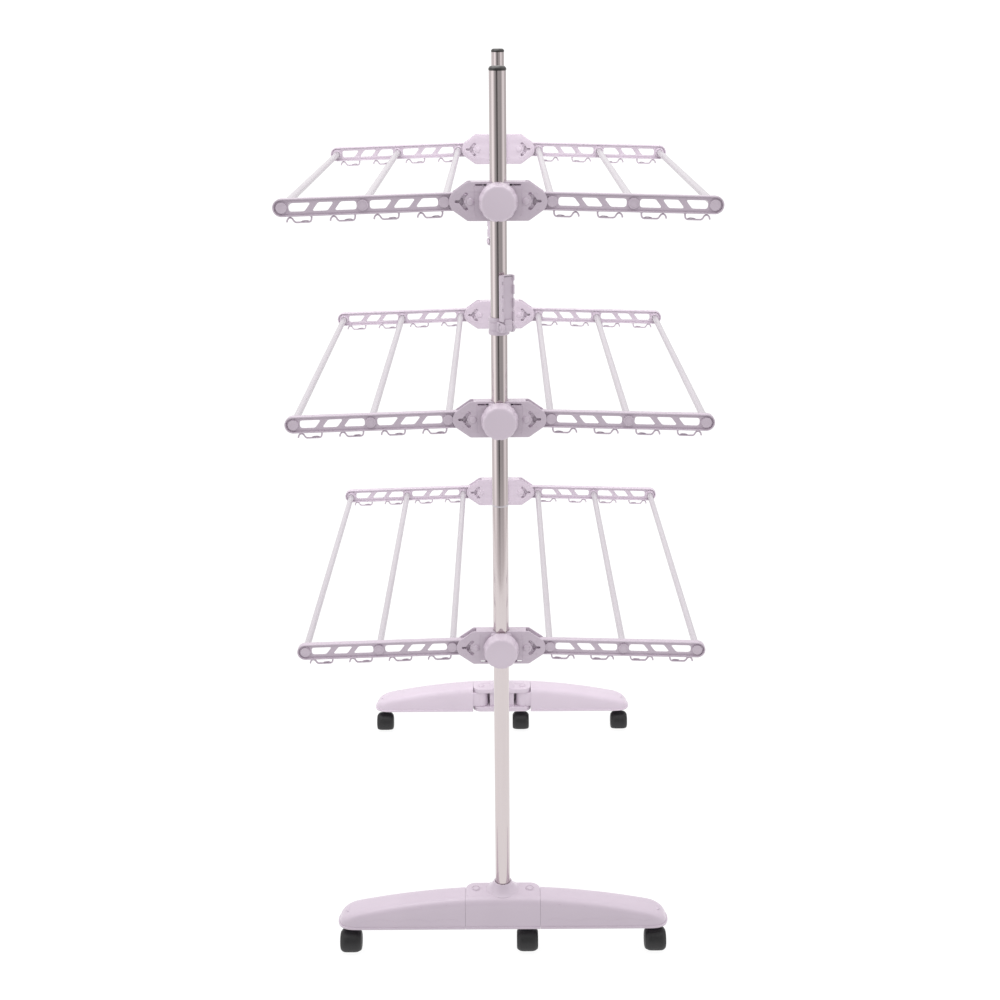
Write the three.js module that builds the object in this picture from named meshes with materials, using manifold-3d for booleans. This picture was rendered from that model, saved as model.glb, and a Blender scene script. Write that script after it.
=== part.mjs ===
// Three-tier clothes drying rack on two steel uprights, with folding trays,
// folding feet and six twin-wheel casters.
// Millimetres, +Z up. X runs across the trays, Y runs along the rods from the
// near upright to the far one. The origin is on the floor, at the middle of
// the rack's bounding box.
import * as THREE from "three";
import { mergeVertices } from "three/addons/utils/BufferGeometryUtils.js";
import Module from "manifold-3d";

const wasm = await Module();
wasm.setup();

// ---- driving dimensions ----
const GAP = 0.35; // play between pieces that touch
const POLE_SPACING = 900;
const Y_SHIFT = 3.465; // puts the origin midway between the outermost casters and knobs
const NEAR_Y = -POLE_SPACING / 2 + Y_SHIFT;
const FAR_Y = POLE_SPACING / 2 + Y_SHIFT;
const POLE_R = 14.3;
const POLE_WALL = 1;
const POLE_BOTTOM = 70;
const POLE_TOP = 1670;
const CAP_TOP = 1677;
const POLE_JOINT_Z = 921;
const TIER_Z = [1460, 1082, 644];

// brackets
const PLATE_HALF_X = 82;
const PLATE_HALF_Z = 32.5;
const PLATE_OUT = 11; // half thickness of the bracket
const PLATE_IN = 7.8; // inner faces of its two plates
const PIVOT_X = 46.5;
const PIN_R = 4;
const KNOB_R0 = 33.2;
const KNOB_R1 = 28.6;
const KNOB_DEPTH = 24;

// trays; distances along an arm are counted from its pivot
const DROOP = THREE.MathUtils.degToRad(1.7); // slope of an open tray
const ARM_HALF_Y = 6.5;
const ARM_R = 15;
const ARM_START = 27;
const DISC_S = [44, 180.7, 317.5];
const DISC_R = 9.3;
const SLOT_S = [12.2, 51.2, 89]; // slot starts, counted inward from a disc
const SLOT_LEN = 36.4;
const SLOT_HALF = 7.1;
const SLOT_SLANT = 11.5;
const HOOK_S = [46.5, 119.8, 193.5, 267];
const ROD_R = 6.25;
const ROD_WALL = 0.7;
const BOSS_R = 8;
const BOSS_OUT = 10.5; // how far a rod socket stands from the arm's middle plane

// feet, in a frame with the pole at 0,0 and the outer side at -Y
const FOOT_END = 325;
const FOOT_OUT = -46;
const FOOT_IN = 21;
const SEAM_X = 73.2;
const LIP_Z = 56;
const LIP_H = 5;
const FOOT_TOP = 120;
const HINGE_X = 53;
const HINGE_Y = 0.5;
const KNUCKLE_R = 17;
const EAR_LOW = 69;
const EAR_HIGH = 107;

// casters
const STEM_Y = -12.5;
const STEM_X = 300;
const STEM_MID_X = 48;
const STEM_R = 4.5;
const STEM_TOP = 66;
const TRAIL = 16;
const WHEEL_R = 21;
const HOOD_R = 24.5;

// hanger arms
const HANG_Z = 1249;
const HANG_TURN = THREE.MathUtils.degToRad(30);
const HANG_DIST = 27;
const COLLAR_R = 18.5;
const HANG_LEN = 90;

// ---- materials ----
const plastic = () =>
  new THREE.MeshStandardMaterial({ color: 0xdccfdc, roughness: 0.4, metalness: 0 });
const steel = () =>
  new THREE.MeshStandardMaterial({ color: 0xc9c2c0, roughness: 0.22, metalness: 1 });
const rodPaint = () =>
  new THREE.MeshStandardMaterial({ color: 0xe2dee4, roughness: 0.35, metalness: 0.2 });
const black = () =>
  new THREE.MeshStandardMaterial({ color: 0x29282b, roughness: 0.5, metalness: 0 });

// ---- helpers ----
const bare = (g) => {
  const b = new THREE.BufferGeometry().setAttribute("position", g.getAttribute("position").clone());
  if (g.index) b.setIndex(g.index.clone());
  return b;
};
const solid = (g) => {
  const m = mergeVertices(bare(g), 1e-4);
  return new wasm.Manifold(
    new wasm.Mesh({
      numProp: 3,
      vertProperties: new Float32Array(m.attributes.position.array),
      triVerts: new Uint32Array(m.index.array),
    }),
  );
};
const geometry = (man) => {
  const m = man.asOriginal().getMesh();
  const g = new THREE.BufferGeometry();
  const p = new Float32Array(m.numVert * 3);
  for (let i = 0; i < m.numVert; i++)
    for (let k = 0; k < 3; k++) p[3 * i + k] = m.vertProperties[m.numProp * i + k];
  g.setAttribute("position", new THREE.BufferAttribute(p, 3));
  g.setIndex(new THREE.BufferAttribute(new Uint32Array(m.triVerts), 1));
  g.computeVertexNormals();
  return g;
};
const box = (x0, y0, z0, x1, y1, z1) =>
  solid(
    new THREE.BoxGeometry(x1 - x0, y1 - y0, z1 - z0).translate(
      (x0 + x1) / 2,
      (y0 + y1) / 2,
      (z0 + z1) / 2,
    ),
  );
// upright cylinder
const cylZ = (r, z0, z1, x, y, n, r1 = r) =>
  solid(
    new THREE.CylinderGeometry(r1, r, z1 - z0, n)
      .rotateX(Math.PI / 2)
      .translate(x, y, (z0 + z1) / 2),
  );
// cylinder along Y
const cylY = (r, y0, y1, x, z, n) =>
  solid(new THREE.CylinderGeometry(r, r, y1 - y0, n).translate(x, (y0 + y1) / 2, z));
const shapeOf = (pts) => new THREE.Shape(pts.map((p) => new THREE.Vector2(p[0], p[1])));
const extrude = (shape, depth) =>
  new THREE.ExtrudeGeometry(shape, { depth, bevelEnabled: false, steps: 1, curveSegments: 4 });
// outline in X,Z pushed along Y from y0 to y1
const prismY = (pts, y0, y1, holes = []) =>
  holes.reduce(
    (a, h) => a.subtract(prismY(h, y0 - 5, y1 + 5)),
    solid(extrude(shapeOf(pts), y1 - y0).rotateX(Math.PI / 2).translate(0, y1, 0)),
  );
// outline in X,Y pushed along Z
const prismZ = (pts, z0, z1) => solid(extrude(shapeOf(pts), z1 - z0).translate(0, 0, z0));
const ring = (cx, cz, r, n, from = 0) =>
  Array.from({ length: n }, (_, i) => {
    const a = from + (2 * Math.PI * i) / n;
    return [cx + r * Math.cos(a), cz + r * Math.sin(a)];
  });
const arc = (cx, cy, r, a0, a1, n) =>
  Array.from({ length: n + 1 }, (_, i) => {
    const a = THREE.MathUtils.degToRad(a0 + ((a1 - a0) * i) / n);
    return [cx + r * Math.cos(a), cy + r * Math.sin(a)];
  });
const mirrorX = (man) => man.mirror([1, 0, 0]);
const all = (list) => list.reduce((a, b) => a.add(b));

const rack = new THREE.Group();
const put = (name, man, material, group = rack) => {
  const g = man.isBufferGeometry ? man : geometry(man);
  const m = new THREE.Mesh(g, material);
  m.name = name;
  group.add(m);
  return m;
};

// ---- uprights: a thin tube with a plug in its top and a joint ring ----
function upright() {
  const r = POLE_R,
    i = POLE_R - POLE_WALL;
  const profile = [
    [i, POLE_BOTTOM],
    [r, POLE_BOTTOM],
    [r, POLE_JOINT_Z - 2],
    [r + 0.7, POLE_JOINT_Z],
    [r, POLE_JOINT_Z + 2],
    [r, POLE_TOP],
    [r + 0.6, POLE_TOP],
    [r + 0.6, POLE_TOP + 3.5],
    [r - 3, CAP_TOP],
    [0, CAP_TOP],
    [0, POLE_TOP - 12],
    [i, POLE_TOP - 12],
    [i, POLE_BOTTOM],
  ].map((p) => new THREE.Vector2(p[0], p[1]));
  return solid(new THREE.LatheGeometry(profile, 12).rotateX(Math.PI / 2));
}

// ---- bracket: two plates, rims between them, a socket round the pole, two pins ----
const PLATE = [
  [PLATE_HALF_X, -5],
  [PLATE_HALF_X, 5],
  [78, 13.5],
  [51.5, PLATE_HALF_Z],
  [-51.5, PLATE_HALF_Z],
  [-78, 13.5],
  [-PLATE_HALF_X, 5],
  [-PLATE_HALF_X, -5],
  [-78, -13.5],
  [-51.5, -PLATE_HALF_Z],
  [51.5, -PLATE_HALF_Z],
  [78, -13.5],
];
// three-armed slot beside each pin
const YSLOT = [
  [71, 0],
  [61, 4],
  [50, 13],
  [55.5, 0],
  [50, -13],
  [61, -4],
];
const flip = (pts) => pts.map((p) => [-p[0], p[1]]).reverse();
const bar = (x0, z0, x1, z1) => [
  [x0, z0],
  [x1, z0],
  [x1, z1],
  [x0, z1],
];
function bracket(flipped) {
  const holes = [YSLOT, flip(YSLOT)];
  const thin = [bar(19, 25.5, 38.5, 28.5), bar(-38.5, 25.5, -19, 28.5)];
  // the lower web is the shorter one, so a tray can hang straight down beside it
  const [slotted, plain] = flipped ? [30, 46] : [46, 30];
  let b = all([
    prismY(PLATE, -PLATE_OUT, -PLATE_IN, [...holes, ...thin]),
    prismY(PLATE, PLATE_IN, PLATE_OUT, holes),
    box(-slotted, -PLATE_IN - 1, PLATE_HALF_Z - 2.5, slotted, PLATE_IN + 1, PLATE_HALF_Z),
    box(-plain, -PLATE_IN - 1, -PLATE_HALF_Z, plain, PLATE_IN + 1, -PLATE_HALF_Z + 2.5),
    box(-17, -16, -PLATE_HALF_Z + 2.5, 17, 16, PLATE_HALF_Z - 2.5),
    cylY(PIN_R, -PLATE_OUT - 1.8, PLATE_OUT + 1.8, PIVOT_X, 0, 6),
    cylY(PIN_R, -PLATE_OUT - 1.8, PLATE_OUT + 1.8, -PIVOT_X, 0, 6),
  ]);
  if (flipped) b = b.rotate([180, 0, 0]).rotate([0, 0, 180]);
  b = b
    .subtract(cylZ(POLE_R + GAP, -50, 50, 0, 0, 12))
    .subtract(cylY(4.5, -25, 0, 0, 0, 8));
  return b;
}

// ---- clamp knob: fluted cone with a stud that reaches the pole ----
function knob() {
  const n = 12;
  const back = -17.5;
  const profile = [
    [0, 0],
    [KNOB_R0, 0],
    [KNOB_R1, KNOB_DEPTH],
    [0, KNOB_DEPTH],
  ].map((p) => new THREE.Vector2(p[0], p[1]));
  const g = new THREE.LatheGeometry(profile, n);
  return solid(g.rotateX(Math.PI).translate(0, back, 0)).add(
    cylY(4, back - 1, -POLE_R - 0.6, 0, 0, 8),
  );
}

// ---- tray arm, pivot at the origin, running out along +X ----
function hookAt(s) {
  const top = [
    [1, 0.5],
    [3.5, -8.6],
    [29, -8.6],
    [37, -0.8],
  ];
  const bottom = [
    [44, -10],
    [30, -11.6],
    [1.5, -11.6],
    [-2.5, 0.5],
  ];
  return [...top, ...bottom].map(([x, z]) => [s + x, z - ARM_R]);
}
const STADIUM = [
  [DISC_S[0] - 17, -ARM_R],
  [DISC_S[2], -ARM_R],
  ...arc(DISC_S[2], 0, ARM_R, -90, 90, 4).slice(1, -1),
  [DISC_S[2], ARM_R],
  [DISC_S[0] - 17, ARM_R],
  ...arc(0, 0, 9.5, 115, 245, 3),
];
const POCKET = [
  [ARM_START + 7, -ARM_R + 2.4],
  [DISC_S[2], -ARM_R + 2.4],
  ...arc(DISC_S[2], 0, ARM_R - 2.4, -90, 90, 3).slice(1, -1),
  [DISC_S[2], ARM_R - 2.4],
  [ARM_START + 7, ARM_R - 2.4],
];
function slotOutlines() {
  const list = [];
  for (const disc of [DISC_S[2], DISC_S[1]]) {
    SLOT_S.forEach((d, i) => {
      const o = disc - d, // outer end
        e = o - SLOT_LEN; // inner end
      const lowOut = o,
        topOut = i === 0 ? o : o - SLOT_SLANT;
      const lowIn = i === 2 ? e : e + SLOT_SLANT;
      const topIn = e;
      list.push([
        [lowIn, -SLOT_HALF],
        [lowOut, -SLOT_HALF],
        [topOut, SLOT_HALF],
        [topIn, SLOT_HALF],
      ]);
    });
  }
  return list;
}
// inner: +1 where the rods are on the +Y side, -1 where they are on the -Y side
function arm(inner) {
  let a = prismY(STADIUM, -ARM_HALF_Y, ARM_HALF_Y);
  const pocket = prismY(POCKET, 1.8, 12);
  a = a.subtract(pocket).subtract(pocket.mirror([0, 1, 0]));
  for (const o of slotOutlines()) a = a.subtract(prismY(o, -8, 8));
  for (const s of HOOK_S) a = a.add(prismY(hookAt(s), -2.5, 2.5));
  // a socket boss for each rod on the inside, its plug on the outside
  for (const s of DISC_S) {
    const y0 = -inner * 1,
      y1 = inner * BOSS_OUT;
    a = a.add(cylY(BOSS_R, Math.min(y0, y1), Math.max(y0, y1), s, 0, 6));
  }
  return a.subtract(cylY(PIN_R + 1, -20, 20, 0, 0, 8));
}
// thin tube, open at its near end
function rod(y0, y1, s) {
  return cylY(ROD_R, y0, y1, s, 0, 8).subtract(cylY(ROD_R - ROD_WALL, y0 - 5, y1 - 4, s, 0, 8));
}

// ---- feet ----
const PROFILE = [
  [SEAM_X, 119.2],
  [140, 113.5],
  [213, 103.5],
  [270, 91.5],
  [303, 77.5],
  [320, LIP_Z + LIP_H],
];
const planEnd = (out, inn, x0, x1, n) => {
  // rounded end in plan, from the inner side round to the outer side
  const cy = (out + inn) / 2,
    ry = (inn - out) / 2;
  return Array.from({ length: n + 1 }, (_, i) => {
    const a = Math.PI / 2 - (Math.PI * i) / n;
    return [x0 + (x1 - x0) * Math.cos(a), cy + ry * Math.sin(a)];
  });
};
function wing() {
  const x0 = SEAM_X + GAP;
  const sideOuter = [[x0, LIP_Z], [322, LIP_Z], ...PROFILE.slice(1).reverse().map((p) => p), [x0, 119.2]];
  const plan = (out, inn, end, start) =>
    [[start, out], ...planEnd(out, inn, end - 34, end, 6).reverse(), [start, inn]];
  let w = prismY(sideOuter, -60, 40).intersect(
    prismZ(plan(FOOT_OUT + 1.8, FOOT_IN - 1.8, FOOT_END - 2.5, x0), LIP_Z - 1, 130),
  );
  w = w.add(prismZ(plan(FOOT_OUT, FOOT_IN, FOOT_END, x0), LIP_Z, LIP_Z + LIP_H));
  // hollow underside
  const sideInner = [
    [x0 + 3, LIP_Z - 2],
    [313, LIP_Z - 2],
    [299, 75],
    [268, 88],
    [212, 100],
    [139, 110],
    [x0 + 3, 115.5],
  ];
  w = w.subtract(
    prismY(sideInner, -60, 40).intersect(
      prismZ(plan(FOOT_OUT + 5, FOOT_IN - 5, FOOT_END - 8, x0 + 3), 50, 130),
    ),
  );
  // caster boss hung from the roof
  const bossTop = 82;
  w = w.add(cylZ(9, LIP_Z, bossTop, STEM_X, STEM_Y, 8));
  // hinge knuckle and its neck
  w = w
    .add(cylZ(KNUCKLE_R, EAR_LOW + GAP, EAR_HIGH - GAP, HINGE_X, HINGE_Y, 10))
    .add(box(HINGE_X, HINGE_Y - 16.5, EAR_LOW + GAP, x0 + 2, HINGE_Y + 16.5, EAR_HIGH - GAP));
  w = w.subtract(cylZ(PIN_R + GAP, 60, 112, HINGE_X, HINGE_Y, 8));
  w = w.subtract(cylZ(STEM_R + 0.5, LIP_Z - 10, STEM_TOP + 2, STEM_X, STEM_Y, 8));
  return w;
}
function footCenter(midSide) {
  const x = SEAM_X,
    e = 20; // ear rounding about each hinge pin
  const plan = (out, inn) => [
    [-x, out],
    [x, out],
    [x, HINGE_Y],
    ...arc(HINGE_X, HINGE_Y, e, 0, 90, 3).slice(1),
    ...arc(-HINGE_X, HINGE_Y, e, 90, 180, 3),
    [-x, HINGE_Y],
  ];
  const top = [
    [-x, LIP_Z - 1],
    [x, LIP_Z - 1],
    [x, 119.2],
    [40, 120.3],
    [-40, 120.3],
    [-x, 119.2],
  ];
  let c = prismY(top, -60, 40)
    .intersect(prismZ(plan(FOOT_OUT + 1.8), LIP_Z, 125))
    .add(prismZ(plan(FOOT_OUT), LIP_Z, LIP_Z + LIP_H))
    .add(cylZ(20.5, LIP_Z - 2, 112, 0, 7.5, 12));
  // room under the roof, open below
  c = c.subtract(box(-28, FOOT_OUT + 5, 40, 28, 17, 115.5));
  for (const s of [-1, 1]) {
    c = c.subtract(box(Math.min(s * 31, s * 70), FOOT_OUT + 5, 40, Math.max(s * 31, s * 70), -23, 115.5));
    // pocket for the knuckle between its ears
    c = c.subtract(box(Math.min(s * 31, s * 90), -19.5, EAR_LOW, Math.max(s * 31, s * 90), 40, EAR_HIGH));
    c = c.add(cylZ(PIN_R, EAR_LOW - 2, EAR_HIGH + 2, s * HINGE_X, HINGE_Y, 8));
  }
  // socket for the pole, with a cone above it
  const cone = [
    [0, 118],
    [32.5, 119],
    [19, 134],
    [16.5, 137.5],
    [0, 137.5],
  ].map((p) => new THREE.Vector2(p[0], p[1]));
  c = c
    .add(solid(new THREE.LatheGeometry(cone, 12).rotateX(Math.PI / 2)).intersect(box(-60, -60, 110, 60, 20.4, 140)))
    .add(cylZ(18, LIP_Z - 2, 118, 0, 0, 12));
  c = c
    .subtract(cylZ(POLE_R + GAP, POLE_BOTTOM - GAP, 150, 0, 0, 12))
    .subtract(cylZ(6, 40, 90, 0, 0, 8))
    .subtract(cylZ(STEM_R + 0.5, 40, STEM_TOP + 1, midSide * STEM_MID_X, STEM_Y, 8));
  return c;
}

// ---- caster: stem at the origin in plan, wheels trailing to -Y ----
function casterFork() {
  const wy = -TRAIL;
  // hood: arc over the wheels, in the Y,Z plane
  const outer = [],
    inner = [];
  for (let i = 0; i <= 5; i++) {
    const a = THREE.MathUtils.degToRad(55 + (155 * i) / 5); // 0 is +Y, 90 is up
    outer.push([wy + HOOD_R * Math.cos(a), WHEEL_R + HOOD_R * Math.sin(a)]);
    inner.push([wy + (HOOD_R - 2.4) * Math.cos(a), WHEEL_R + (HOOD_R - 2.4) * Math.sin(a)]);
  }
  const shell = [...outer, ...inner.reverse()];
  // outline in Y,Z pushed along X
  const prismX = (pts, x0, x1) =>
    solid(
      extrude(shapeOf(pts), x1 - x0)
        .rotateY(Math.PI / 2)
        .rotateX(Math.PI / 2)
        .translate(x0, 0, 0),
    );
  const web = [
    [wy - 20, WHEEL_R + 8],
    [wy - 9, WHEEL_R - 9],
    [wy + 9, WHEEL_R - 9],
    [6, WHEEL_R + 12],
    [7, 46],
    [wy, 45],
    [wy - 16, 38],
  ];
  let f = prismX(shell, -17.5, 17.5)
    .add(prismX(web, -2.6, 2.6))
    .add(cylZ(8.5, 43.8, 49, 0, 0, 8))
    .add(cylZ(STEM_R, 48, STEM_TOP, 0, 0, 8));
  return f.subtract(
    solid(
      new THREE.CylinderGeometry(3.4, 3.4, 40, 8).rotateZ(Math.PI / 2).translate(0, wy, WHEEL_R),
    ),
  );
}
function casterWheels() {
  const wy = -TRAIL,
    R = WHEEL_R;
  const profile = [
    [0, -21],
    [R - 3, -16],
    [R, -3.1],
    [3, -3.1],
    [3, 3.1],
    [R, 3.1],
    [R - 3, 16],
    [0, 21],
  ].map((p) => new THREE.Vector2(p[0], p[1]));
  // axis along X, one vertex of each wheel on the floor
  return solid(
    new THREE.LatheGeometry(profile, 12).rotateZ(-Math.PI / 2).translate(0, wy, R),
  );
}

// ---- hanger arm folded up beside its upright; d is the outward direction ----
const hangSpin = (man, far) => {
  // built pointing to -Y, then turned about the pole
  const m = man.rotate([0, 0, THREE.MathUtils.radToDeg(HANG_TURN)]);
  return far ? m.rotate([0, 0, 180]) : m;
};
function hangerCollar(far) {
  let c = cylZ(COLLAR_R, HANG_Z - 16, HANG_Z + 14, 0, 0, 12);
  for (const s of [-1, 1])
    c = c
      .add(box(Math.min(s * 7.6, s * 12.5), -HANG_DIST, HANG_Z - 9, Math.max(s * 7.6, s * 12.5), 0, HANG_Z + 9))
      .add(
        solid(
          new THREE.CylinderGeometry(9, 9, 4.9, 8)
            .rotateZ(Math.PI / 2)
            .translate(s * 10.05, -HANG_DIST, HANG_Z),
        ),
      );
  c = c.add(
    solid(new THREE.CylinderGeometry(2.6, 2.6, 24, 8).rotateZ(Math.PI / 2).translate(0, -HANG_DIST, HANG_Z)),
  );
  c = hangSpin(c, far);
  return c.subtract(cylZ(POLE_R + GAP, HANG_Z - 40, HANG_Z + 40, 0, 0, 12));
}
function hangerArm(far) {
  const y = -HANG_DIST;
  const hub = solid(
    new THREE.CylinderGeometry(8, 8, 14.4, 10).rotateZ(Math.PI / 2).translate(0, y, HANG_Z),
  );
  const z0 = HANG_Z + 10.5,
    z1 = HANG_Z + HANG_LEN;
  // channel, open to the outside
  let a = box(-11.5, y - 7, z0, 11.5, y + 7, z1)
    .subtract(box(-8.8, y - 20, z0 + 6, 8.8, y + 4.2, z1 - 5))
    .add(box(-7.2, y - 6.5, HANG_Z, 7.2, y + 6.5, z0 + 6))
    .add(hub);
  for (let i = 0; i < 3; i++) {
    const z = z0 + 17 + i * 23;
    a = a.subtract(box(-20, y + 3.4, z, 20, y + 12, z + 7));
  }
  a = a.subtract(
    solid(new THREE.CylinderGeometry(2.9, 2.9, 40, 8).rotateZ(Math.PI / 2).translate(0, y, HANG_Z)),
  );
  return hangSpin(a, far);
}

// ---- assembly ----
const ends = { near: NEAR_Y, far: FAR_Y };
for (const [end, y] of Object.entries(ends)) {
  const far = end === "far";
  const g = new THREE.Group();
  g.position.y = y;
  rack.add(g);
  put(`upright_${end}`, upright(), steel(), g);
  put(`hanger_${end}_collar`, hangerCollar(far), plastic(), g);
  put(`hanger_${end}_arm`, hangerArm(far), plastic(), g);

  const foot = new THREE.Group();
  if (far) foot.rotation.z = Math.PI;
  g.add(foot);
  put(`foot_${end}_center`, footCenter(far ? -1 : 1), plastic(), foot);
  const w = wing();
  put(`foot_${end}_wing_${far ? "left" : "right"}`, w, plastic(), foot);
  put(`foot_${end}_wing_${far ? "right" : "left"}`, mirrorX(w), plastic(), foot);
  const stemY = y + (far ? -STEM_Y : STEM_Y);
  for (const [side, x] of [
    ["left", -STEM_X],
    ["mid", STEM_MID_X],
    ["right", STEM_X],
  ]) {
    const c = new THREE.Group();
    c.position.set(x, stemY, 0);
    rack.add(c);
    put(`caster_${end}_${side}_fork`, casterFork(), black(), c);
    put(`caster_${end}_${side}_wheels`, casterWheels(), black(), c);
  }
}

TIER_Z.forEach((z, i) => {
  const tier = i + 1;
  for (const [end, y] of Object.entries(ends)) {
    const far = end === "far";
    const g = new THREE.Group();
    g.position.set(0, y, z);
    rack.add(g);
    // the slotted edge is up on the upper two near brackets and down on the others
    const slotsDown = (tier === 3) !== far;
    let b = bracket(slotsDown);
    if (far) b = b.rotate([0, 0, 180]);
    let k = knob();
    if (far) k = k.rotate([0, 0, 180]);
    put(`tier${tier}_bracket_${end}`, b, plastic(), g);
    put(`tier${tier}_knob_${end}`, k, plastic(), g);
  }
  for (const [side, s] of [
    ["left", -1],
    ["right", 1],
  ]) {
    // built running to +X and sloping down by DROOP; the left tray is its mirror
    const g = new THREE.Group();
    g.position.set(s * PIVOT_X, 0, z);
    g.rotation.y = s * DROOP;
    rack.add(g);
    const place = (name, man, mat) => put(name, s < 0 ? mirrorX(man) : man, mat, g);
    const near = arm(1).translate([0, NEAR_Y, 0]);
    let farArm = arm(-1).translate([0, FAR_Y, 0]);
    const y0 = NEAR_Y + BOSS_OUT + GAP,
      y1 = FAR_Y - BOSS_OUT - GAP;
    farArm = farArm.add(rod(y0, y1 + 3, DISC_S[1]));
    place(`tray${tier}_${side}_arm_near`, near, plastic());
    place(`tray${tier}_${side}_arm_far`, farArm, plastic());
    place(`tray${tier}_${side}_rod_inner`, rod(y0, y1, DISC_S[0]), rodPaint());
    place(`tray${tier}_${side}_rod_outer`, rod(y0, y1, DISC_S[2]), rodPaint());
  }
});

export default rack;
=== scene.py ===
# Looks for the folding three-tier drying rack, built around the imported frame.
# Shape functions work in millimetres; emit() scales to metres.
import bpy
import bmesh
import math
from mathutils import Matrix, Vector


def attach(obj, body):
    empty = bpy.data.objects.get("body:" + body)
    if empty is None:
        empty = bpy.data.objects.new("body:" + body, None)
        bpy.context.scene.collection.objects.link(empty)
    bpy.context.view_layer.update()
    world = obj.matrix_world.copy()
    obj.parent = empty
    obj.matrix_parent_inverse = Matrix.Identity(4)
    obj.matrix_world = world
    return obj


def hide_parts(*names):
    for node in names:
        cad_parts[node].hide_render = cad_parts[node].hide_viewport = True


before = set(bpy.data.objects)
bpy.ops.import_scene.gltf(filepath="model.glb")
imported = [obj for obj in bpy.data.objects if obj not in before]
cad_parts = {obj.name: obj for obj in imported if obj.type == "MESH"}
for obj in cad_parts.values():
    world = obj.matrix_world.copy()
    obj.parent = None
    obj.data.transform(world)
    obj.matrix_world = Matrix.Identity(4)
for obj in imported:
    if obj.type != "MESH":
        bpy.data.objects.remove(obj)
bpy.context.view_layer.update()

NEAR_Y, FAR_Y = -446.535, 453.465
TIER_Z = (1460.0, 1082.0, 644.0)
PIVOT_X = 46.5
DROOP = math.radians(1.7)
DISC_S = (44.0, 180.7, 317.5)
HOOK_S = (46.5, 119.8, 193.5, 267.0)
ARM_R = 15.0
SEAM_X = 73.2
LIP_Z = 56.0


# ---------------------------------------------------------------- materials
def new_mat(name):
    m = bpy.data.materials.new(name)
    m.use_nodes = True
    nt = m.node_tree
    return m, nt, nt.nodes["Principled BSDF"]


def node(nt, kind, **kw):
    n = nt.nodes.new(kind)
    for k, v in kw.items():
        setattr(n, k, v)
    return n


def noise(nt, scale, detail=3.0, rough=0.55, stretch=(1, 1, 1)):
    co = node(nt, "ShaderNodeTexCoord")
    mp = node(nt, "ShaderNodeMapping")
    mp.inputs["Scale"].default_value = stretch
    nt.links.new(co.outputs["Object"], mp.inputs["Vector"])
    n = node(nt, "ShaderNodeTexNoise")
    n.inputs["Scale"].default_value = scale
    n.inputs["Detail"].default_value = detail
    n.inputs["Roughness"].default_value = rough
    nt.links.new(mp.outputs["Vector"], n.inputs["Vector"])
    return n


def ramp(nt, src, stops, sock="Fac"):
    r = node(nt, "ShaderNodeValToRGB")
    els = r.color_ramp.elements
    while len(els) < len(stops):
        els.new(0.5)
    for e, (p, c) in zip(els, stops):
        e.position = p
        e.color = (*c, 1) if len(c) == 3 else c
    nt.links.new(src.outputs[sock], r.inputs["Fac"])
    return r


def bump(nt, bsdf, src, strength, distance, sock="Fac"):
    b = node(nt, "ShaderNodeBump")
    b.inputs["Strength"].default_value = strength
    b.inputs["Distance"].default_value = distance
    nt.links.new(src.outputs[sock], b.inputs["Height"])
    nt.links.new(b.outputs["Normal"], bsdf.inputs["Normal"])
    return b


def plastic(name, lo, hi, r_lo, r_hi, coat, grain=0.10):
    m, nt, b = new_mat(name)
    big = noise(nt, 9.0, 2.0)
    col = ramp(nt, big, [(0.3, lo), (0.7, hi)])
    nt.links.new(col.outputs["Color"], b.inputs["Base Color"])
    fine = noise(nt, 420.0, 4.0)
    rr = ramp(nt, fine, [(0.3, (r_lo,) * 3), (0.7, (r_hi,) * 3)])
    nt.links.new(rr.outputs["Color"], b.inputs["Roughness"])
    mid = noise(nt, 1400.0, 2.0)
    bump(nt, b, mid, grain, 0.00012)
    b.inputs["Metallic"].default_value = 0.0
    b.inputs["IOR"].default_value = 1.49
    b.inputs["Coat Weight"].default_value = coat
    b.inputs["Coat Roughness"].default_value = 0.12
    return m


LILAC = plastic("lilac_gloss", (0.575, 0.490, 0.572), (0.600, 0.512, 0.598), 0.28, 0.36, 0.25)
# lighter copy of the lilac for the clamp knobs: painted light, so the knobs read brighter than the bracket plates of
# the same plastic
LILAC_LIT_KNOB = plastic("lilac_knob_painted_light", (0.655, 0.560, 0.650), (0.680, 0.582, 0.675), 0.28, 0.36, 0.25)
LILAC_MATT = plastic("lilac_satin", (0.560, 0.475, 0.558), (0.585, 0.498, 0.583), 0.42, 0.52, 0.0, 0.2)


def steel(name, lo, hi, r_lo, r_hi):
    m, nt, b = new_mat(name)
    n = noise(nt, 60.0, 4.0, 0.6, (1, 1, 0.02))
    col = ramp(nt, n, [(0.3, lo), (0.7, hi)])
    nt.links.new(col.outputs["Color"], b.inputs["Base Color"])
    fine = noise(nt, 900.0, 2.0, 0.5, (1, 1, 0.01))
    rr = ramp(nt, fine, [(0.3, (r_lo,) * 3), (0.7, (r_hi,) * 3)])
    nt.links.new(rr.outputs["Color"], b.inputs["Roughness"])
    bump(nt, b, fine, 0.03, 0.0001)
    b.inputs["Metallic"].default_value = 1.0
    return m


STEEL = steel("polished_steel", (0.61, 0.545, 0.548), (0.65, 0.585, 0.588), 0.07, 0.12)


def rod_paint():
    m, nt, b = new_mat("rod_coating")
    n = noise(nt, 40.0, 3.0, 0.5, (1, 0.05, 1))
    col = ramp(nt, n, [(0.3, (0.575, 0.535, 0.575)), (0.7, (0.625, 0.585, 0.625))])
    nt.links.new(col.outputs["Color"], b.inputs["Base Color"])
    fine = noise(nt, 700.0, 2.0)
    rr = ramp(nt, fine, [(0.3, (0.26,) * 3), (0.7, (0.36,) * 3)])
    nt.links.new(rr.outputs["Color"], b.inputs["Roughness"])
    bump(nt, b, fine, 0.06, 0.0001)
    b.inputs["Metallic"].default_value = 0.25
    b.inputs["Coat Weight"].default_value = 0.2
    return m


ROD = rod_paint()


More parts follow.
